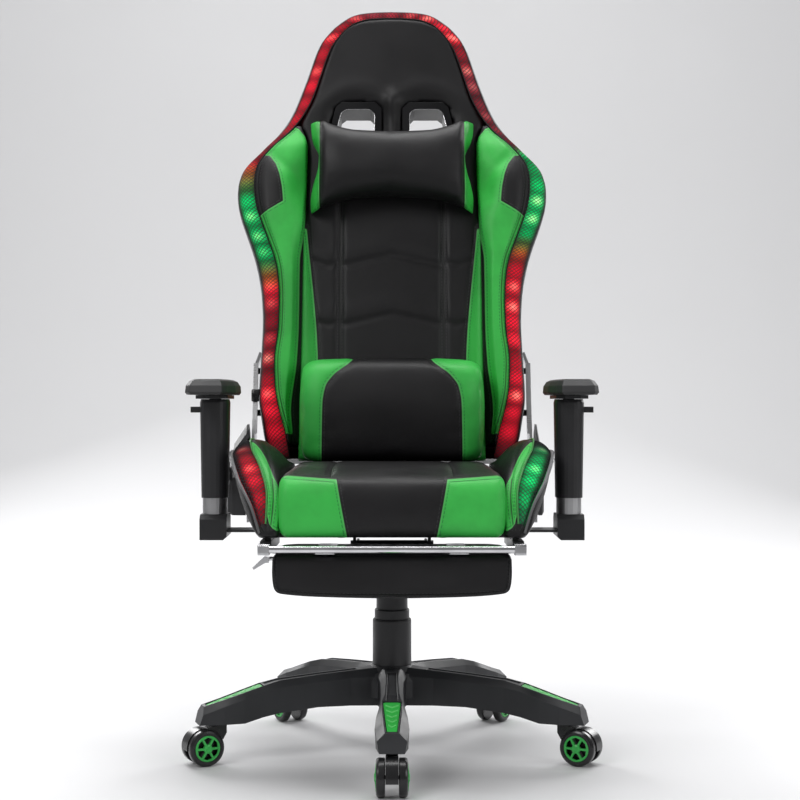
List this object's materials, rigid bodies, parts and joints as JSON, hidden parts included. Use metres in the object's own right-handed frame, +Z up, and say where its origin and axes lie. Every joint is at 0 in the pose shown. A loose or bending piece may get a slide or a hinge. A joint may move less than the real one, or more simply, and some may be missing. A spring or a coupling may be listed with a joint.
{
  "type": "gaming chair",
  "caption": "Racing-style gaming chair with wing bolsters, recliner, adjustable armrests, lit mesh edges, pillows, pull-out footrest and a caster base.",
  "frame": {"origin": "on the floor, on the axis of the gas lift", "axes": "+Z up, the sitter faces -Y; left and right in names are as seen from in front, so left is -X"},
  "size_m": [0.7024, 0.7423, 1.353],
  "materials": {
    "base_nylon": "satin",
    "black_plastic": "satin",
    "gloss_black": "gloss",
    "green_plastic": "satin",
    "steel": "satin",
    "chrome": "polished",
    "black_metal": "satin",
    "black_upholstery": "satin",
    "green_upholstery": "satin",
    "armrest_foam": "satin",
    "light_mesh": "satin"
  },
  "bodies": {
    "base": {"base_star": "base_nylon", "arm_inserts": "green_plastic", "caster_stems": "steel", "gas_cylinder": "black_metal", "lift_cover_lower": "black_plastic"},
    "lift_rod": {"lift_rod": "steel"},
    "middle_cover": {"lift_cover_middle": "black_plastic"},
    "mechanism": {"gas_piston": "black_metal", "lift_cover_upper": "black_plastic", "tilt_housing": "black_metal"},
    "height_lever": {"height_lever": "chrome"},
    "tension_knob": {"tension_knob": "black_plastic"},
    "seat": {"seat_plate": "black_metal", "seat_frame": "black_metal", "seat_cushion": "black_upholstery", "seat_wings": "black_upholstery", "seat_light_mesh": "light_mesh", "recliner_lower_brackets": "steel", "recliner_covers": "black_plastic", "armrest_brackets": "black_metal", "armrest_posts": "steel", "armrest_feet": "black_plastic", "footrest_guides": "black_metal", "seat_bolts": "steel"},
    "recline_lever": {"recline_lever": "black_plastic"},
    "backrest": {"backrest_frame": "black_metal", "backrest_cushion": "black_upholstery", "backrest_wings": "green_upholstery", "backrest_light_mesh": "light_mesh", "backrest_shell": "black_upholstery", "slot_bezels": "black_plastic", "recliner_upper_arms": "steel", "head_pillow": "black_upholstery", "lumbar_pillow": "black_upholstery"},
    "footrest_frame": {"footrest_frame": "chrome"},
    "footrest": {"footrest_bar": "chrome", "footrest_pad": "black_upholstery"},
    "armrest_left": {"armrest_sleeve_left": "black_plastic"},
    "button_left": {"armrest_button_left": "black_plastic"},
    "pad_carrier_left": {"pad_carrier_left": "black_plastic"},
    "pad_left": {"armrest_pad_left": "armrest_foam"},
    "armrest_right": {"armrest_sleeve_right": "black_plastic"},
    "button_right": {"armrest_button_right": "black_plastic"},
    "pad_carrier_right": {"pad_carrier_right": "black_plastic"},
    "pad_right": {"armrest_pad_right": "armrest_foam"},
    "caster_1": {"caster_1_yoke": "gloss_black"},
    "caster_1_roller": {"caster_1_wheels": "gloss_black", "caster_1_caps": "green_plastic"},
    "caster_2": {"caster_2_yoke": "gloss_black"},
    "caster_2_roller": {"caster_2_wheels": "gloss_black", "caster_2_caps": "green_plastic"},
    "caster_3": {"caster_3_yoke": "gloss_black"},
    "caster_3_roller": {"caster_3_wheels": "gloss_black", "caster_3_caps": "green_plastic"},
    "caster_4": {"caster_4_yoke": "gloss_black"},
    "caster_4_roller": {"caster_4_wheels": "gloss_black", "caster_4_caps": "green_plastic"},
    "caster_5": {"caster_5_yoke": "gloss_black"},
    "caster_5_roller": {"caster_5_wheels": "gloss_black", "caster_5_caps": "green_plastic"}
  },
  "joints": [
    {"name": "seat_swivel", "type": "hinge", "parent": "base", "child": "lift_rod", "pos_m": [0, 0, 0.15], "axis": [0, 0, 1], "continuous": true},
    {"name": "lift", "type": "slide", "parent": "lift_rod", "child": "mechanism", "axis": [0, 0, 1], "range_m": [-0.045, 0.055]},
    {"name": "middle_cover_slide", "type": "slide", "parent": "lift_rod", "child": "middle_cover", "axis": [0, 0, 1], "range_m": [-0.0225, 0.0275]},
    {"name": "height_lever_lift", "type": "hinge", "parent": "mechanism", "child": "height_lever", "pos_m": [-0.069, -0.03, 0.335], "axis": [0, 1, 0], "range_deg": [0, 5], "stiffness_Nm_per_rad": 1},
    {"name": "tension_knob_turn", "type": "hinge", "parent": "mechanism", "child": "tension_knob", "pos_m": [0, 0.074, 0.303], "axis": [0, 0, 1], "continuous": true},
    {"name": "seat_tilt", "type": "hinge", "parent": "mechanism", "child": "seat", "pos_m": [0, -0.025, 0.36], "axis": [-1, 0, 0], "range_deg": [0, 12]},
    {"name": "recline", "type": "hinge", "parent": "seat", "child": "backrest", "pos_m": [0, 0.19, 0.478], "axis": [-1, 0, 0], "range_deg": [0, 55]},
    {"name": "recline_lever_pull", "type": "hinge", "parent": "seat", "child": "recline_lever", "pos_m": [-0.298, 0.19, 0.478], "axis": [-1, 0, 0], "range_deg": [0, 20], "stiffness_Nm_per_rad": 1},
    {"name": "armrest_height_left", "type": "slide", "parent": "seat", "child": "armrest_left", "axis": [0, 0, 1], "range_m": [-0.027, 0.05]},
    {"name": "button_press_left", "type": "slide", "parent": "armrest_left", "child": "button_left", "axis": [1, 0, 0], "range_m": [0, 0.004], "stiffness_N_per_m": 300},
    {"name": "pad_swivel_left", "type": "hinge", "parent": "armrest_left", "child": "pad_carrier_left", "pos_m": [-0.303, -0.025, 0.61], "axis": [0, 0, 1], "range_deg": [-15, 15]},
    {"name": "pad_slide_left", "type": "slide", "parent": "pad_carrier_left", "child": "pad_left", "axis": [0, 1, 0], "range_m": [-0.03, 0.03]},
    {"name": "armrest_height_right", "type": "slide", "parent": "seat", "child": "armrest_right", "axis": [0, 0, 1], "range_m": [-0.027, 0.05]},
    {"name": "button_press_right", "type": "slide", "parent": "armrest_right", "child": "button_right", "axis": [-1, 0, 0], "range_m": [0, 0.004], "stiffness_N_per_m": 300},
    {"name": "pad_swivel_right", "type": "hinge", "parent": "armrest_right", "child": "pad_carrier_right", "pos_m": [0.303, -0.025, 0.61], "axis": [0, 0, 1], "range_deg": [-15, 15]},
    {"name": "pad_slide_right", "type": "slide", "parent": "pad_carrier_right", "child": "pad_right", "axis": [0, 1, 0], "range_m": [-0.03, 0.03]},
    {"name": "footrest_slide", "type": "slide", "parent": "seat", "child": "footrest_frame", "axis": [0, -1, 0], "range_m": [0, 0.22]},
    {"name": "footrest_flip", "type": "hinge", "parent": "footrest_frame", "child": "footrest", "pos_m": [0, -0.276, 0.3725], "axis": [-1, 0, 0], "range_deg": [0, 180]},
    {"name": "caster_1_swivel", "type": "hinge", "parent": "base", "child": "caster_1", "pos_m": [0, -0.303, 0.06], "axis": [0, 0, 1], "continuous": true},
    {"name": "caster_1_roll", "type": "hinge", "parent": "caster_1", "child": "caster_1_roller", "pos_m": [0, -0.333, 0.03], "axis": [1, 0, 0], "continuous": true},
    {"name": "caster_2_swivel", "type": "hinge", "parent": "base", "child": "caster_2", "pos_m": [0.28817, -0.09363, 0.06], "axis": [0, 0, 1], "continuous": true},
    {"name": "caster_2_roll", "type": "hinge", "parent": "caster_2", "child": "caster_2_roller", "pos_m": [0.3149, -0.10725, 0.03], "axis": [0.454, 0.891, 0], "continuous": true},
    {"name": "caster_3_swivel", "type": "hinge", "parent": "base", "child": "caster_3", "pos_m": [0.1781, 0.24513, 0.06], "axis": [0, 0, 1], "continuous": true},
    {"name": "caster_3_roll", "type": "hinge", "parent": "caster_3", "child": "caster_3_roller", "pos_m": [0.19328, 0.27101, 0.03], "axis": [-0.8625, 0.506, 0], "continuous": true},
    {"name": "caster_4_swivel", "type": "hinge", "parent": "base", "child": "caster_4", "pos_m": [-0.1781, 0.24513, 0.06], "axis": [0, 0, 1], "continuous": true},
    {"name": "caster_4_roll", "type": "hinge", "parent": "caster_4", "child": "caster_4_roller", "pos_m": [-0.19328, 0.27101, 0.03], "axis": [-0.8625, -0.506, 0], "continuous": true},
    {"name": "caster_5_swivel", "type": "hinge", "parent": "base", "child": "caster_5", "pos_m": [-0.28817, -0.09363, 0.06], "axis": [0, 0, 1], "continuous": true},
    {"name": "caster_5_roll", "type": "hinge", "parent": "caster_5", "child": "caster_5_roller", "pos_m": [-0.3149, -0.10725, 0.03], "axis": [0.454, -0.891, 0], "continuous": true}
  ],
  "couplings": [
    {"joint": "middle_cover_slide", "follows": "lift", "ratio": 0.5}
  ]
}
